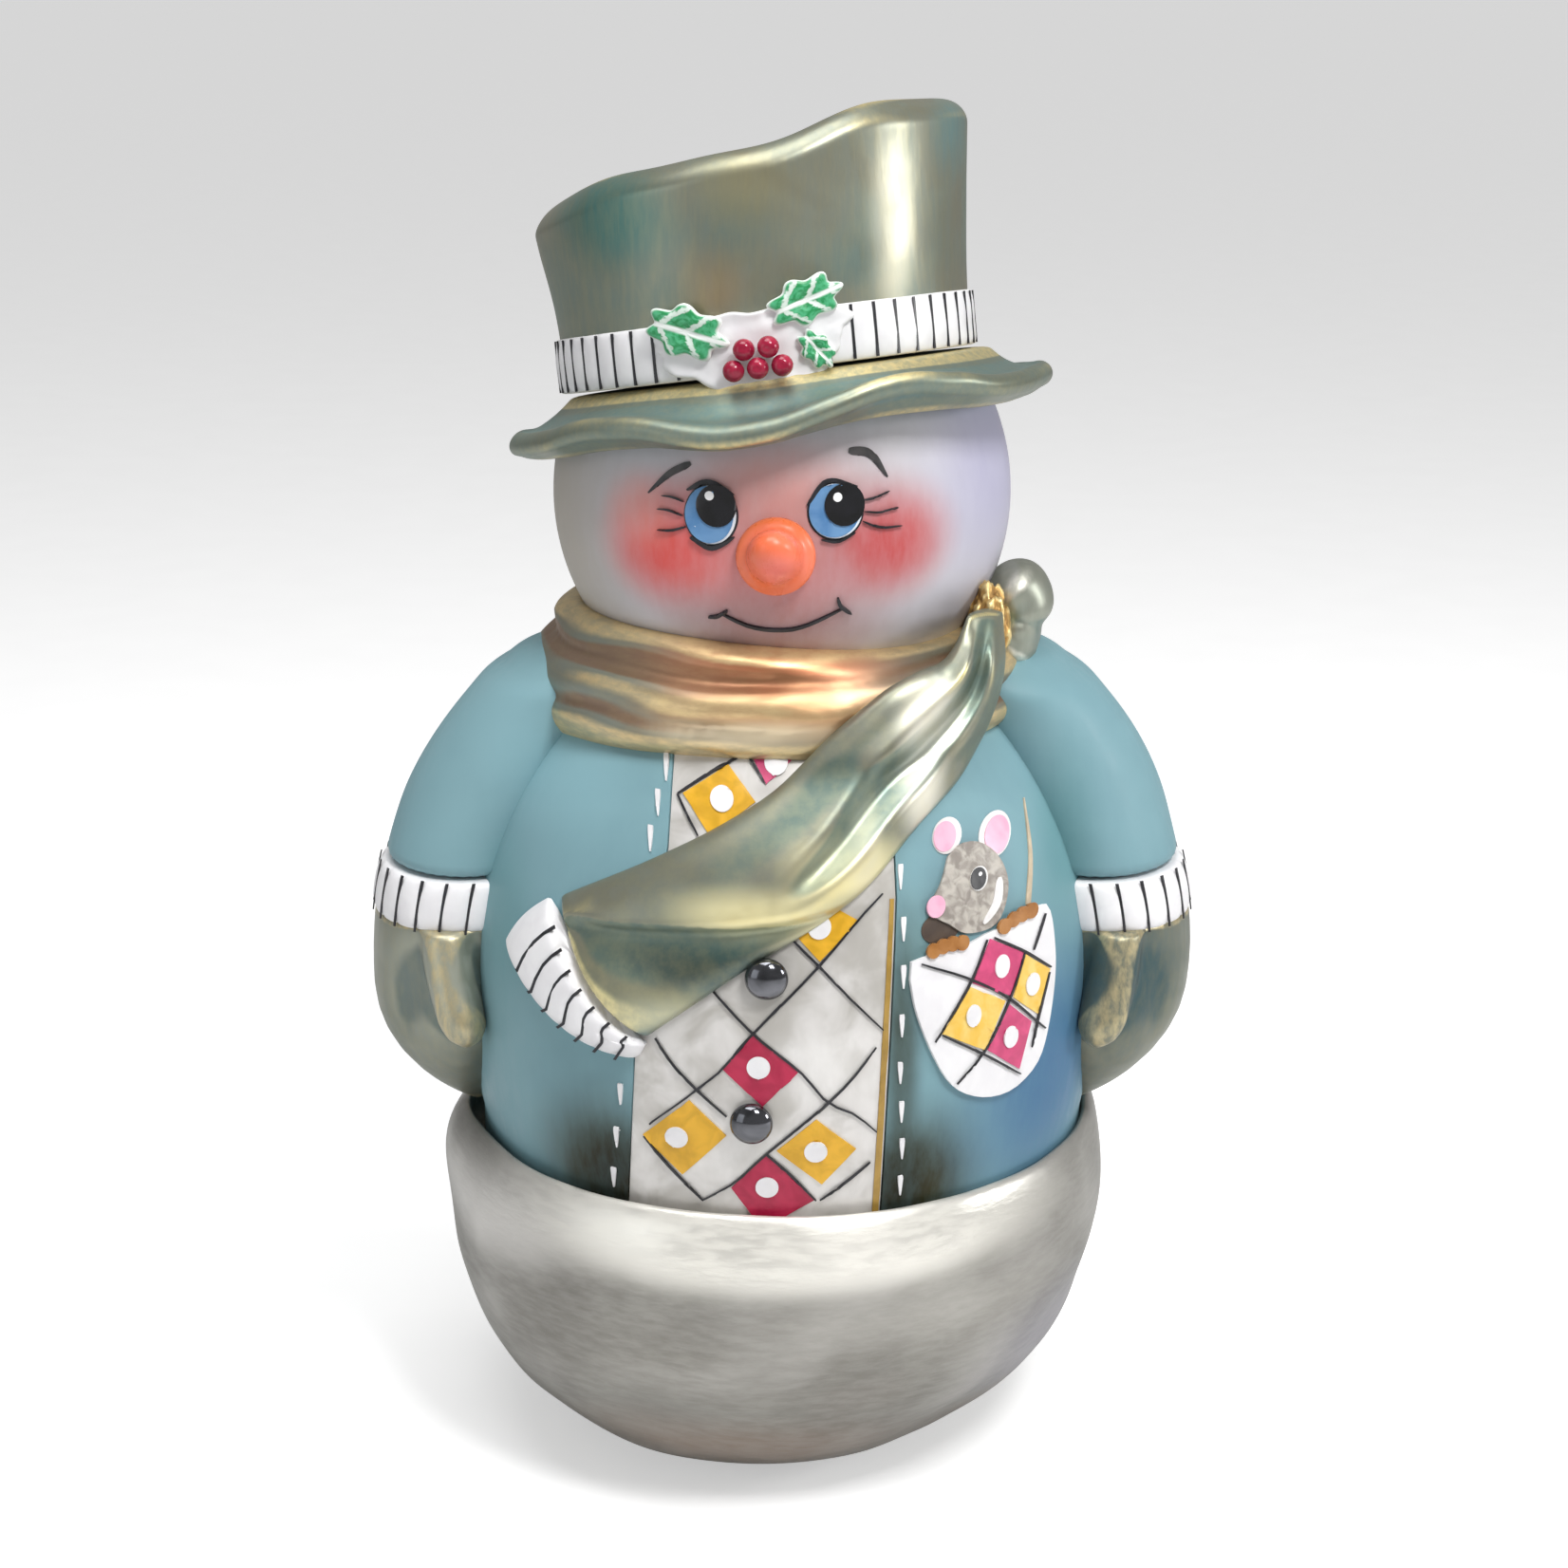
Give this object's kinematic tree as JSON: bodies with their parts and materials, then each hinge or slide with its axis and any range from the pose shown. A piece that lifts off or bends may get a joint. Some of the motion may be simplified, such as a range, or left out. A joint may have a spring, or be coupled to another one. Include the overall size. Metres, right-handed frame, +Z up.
{
  "type": "wooden snowman figure",
  "caption": "Painted snowman figure in a tilted top hat, wrapped scarf and coat, sitting in a rounded snowball base with a flat foot.",
  "frame": {"origin": "on the foot's flat face, under the middle of the coat", "axes": "+Z up, -Y the way the figure faces, +X towards its right-hand side as seen from the front"},
  "size_m": [0.1538, 0.127, 0.25],
  "materials": {
    "felt": "dark felt",
    "snow": "brushed pearl silver paint",
    "dowel": "bare wood",
    "coat": "satin blue-green paint",
    "silver": "brushed silver paint",
    "button": "glossy dark silver paint",
    "white": "satin white paint",
    "pewter": "pearl pewter and gold paint",
    "gold": "pearl copper and gold paint",
    "face": "satin cool white paint",
    "nose": "satin orange paint",
    "holly": "satin green paint",
    "berry": "gloss dark red paint",
    "ink": "black line paint",
    "ochre": "ochre paint",
    "crimson": "crimson and pink paint",
    "iris": "blue paint",
    "mouse": "soft grey paint"
  },
  "bodies": {
    "root": {"felt_pad": "felt", "snowball_base": "snow", "waist_dowel": "dowel", "coat_body": "coat", "shirt_panel": "silver", "button_upper": "button", "button_lower": "button", "pocket_patch": "white", "neck_dowel": "dowel", "left_sleeve": "coat", "left_arm_dowel": "dowel", "left_cuff": "white", "left_mitten": "pewter", "right_sleeve": "coat", "right_arm_dowel": "dowel", "right_cuff": "white", "right_mitten": "pewter", "scarf_wrap": "gold", "scarf_knot": "pewter", "scarf_tail": "pewter", "scarf_fringe": "white", "head": "face", "nose": "nose", "hat_brim": "pewter", "hat_dowel": "dowel", "hat_crown": "pewter", "hat_band": "white", "sprig_plaque": "white", "holly_leaf_left": "holly", "holly_leaf_right": "holly", "holly_leaf_lower": "holly", "berry_1": "berry", "berry_2": "berry", "berry_3": "berry", "berry_4": "berry", "berry_5": "berry"}
  },
  "joints": []
}
